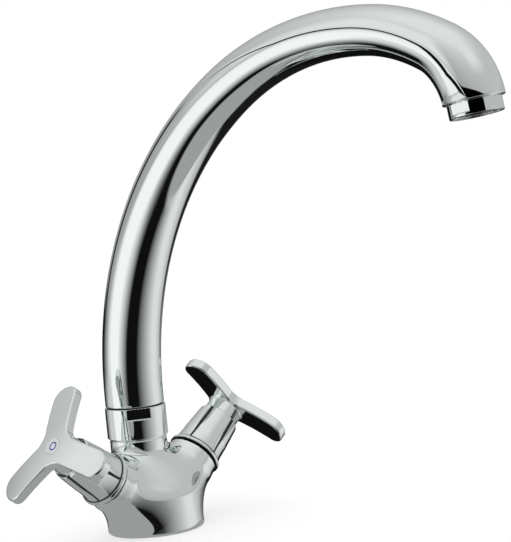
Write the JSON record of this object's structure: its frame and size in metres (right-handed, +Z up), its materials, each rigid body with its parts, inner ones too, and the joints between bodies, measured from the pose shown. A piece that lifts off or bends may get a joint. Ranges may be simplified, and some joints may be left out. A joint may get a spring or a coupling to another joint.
{
  "type": "kitchen_tap",
  "caption": "Deck-mounted chrome kitchen tap with a tall swan-neck swivel spout and three-armed turning handles on sloping branches.",
  "frame": {"origin": "centre of the foot's underside, on the deck", "axes": "+Z up, -Y towards the basin where the spout points at rest, +X towards the hot handle"},
  "size_m": [0.1498, 0.2632, 0.2467],
  "materials": {
    "chrome_plate": "mirror polished",
    "brass": "machined",
    "steel": "bright",
    "ceramic": "lapped",
    "rubber": "matt",
    "fibre": "matt",
    "white_plastic": "satin",
    "index_face": "gloss",
    "index_blue": "gloss",
    "index_red": "gloss"
  },
  "bodies": {
    "tap_body": {"body": "chrome_plate", "base_gasket": "rubber", "neck_nut": "chrome_plate", "spout_washer": "white_plastic", "cold_headwork": "brass", "cold_headwork_washer": "fibre", "cold_seat_seal": "rubber", "cold_fixed_disc": "ceramic", "hot_headwork": "brass", "hot_headwork_washer": "fibre", "hot_seat_seal": "rubber", "hot_fixed_disc": "ceramic"},
    "swivel_spout": {"spout": "chrome_plate", "slip_ring": "white_plastic", "spigot_o_rings": "rubber", "aerator_shell": "chrome_plate", "aerator_insert": "white_plastic", "aerator_seal": "rubber"},
    "cold_control": {"cold_moving_disc": "ceramic", "cold_spindle": "brass", "cold_spindle_o_rings": "rubber", "cold_spindle_clip": "steel", "cold_handle": "chrome_plate", "cold_skirt": "chrome_plate", "cold_handle_screw": "steel", "cold_index_cap": "index_face", "cold_index_ring": "index_blue"},
    "hot_control": {"hot_moving_disc": "ceramic", "hot_spindle": "brass", "hot_spindle_o_rings": "rubber", "hot_spindle_clip": "steel", "hot_handle": "chrome_plate", "hot_skirt": "chrome_plate", "hot_handle_screw": "steel", "hot_index_cap": "index_face", "hot_index_ring": "index_red"}
  },
  "joints": [
    {"name": "spout_swivel", "type": "hinge", "parent": "tap_body", "child": "swivel_spout", "pos_m": [0, 0.0067, 0.06], "axis": [0, 0, 1], "continuous": true},
    {"name": "cold_turn", "type": "hinge", "parent": "tap_body", "child": "cold_control", "pos_m": [-0.04854, 0, 0.04334], "axis": [-0.809, 0, 0.5878], "range_deg": [0, 90]},
    {"name": "hot_turn", "type": "hinge", "parent": "tap_body", "child": "hot_control", "pos_m": [0.04854, 0, 0.04334], "axis": [0.809, 0, 0.5878], "range_deg": [0, 90]}
  ]
}
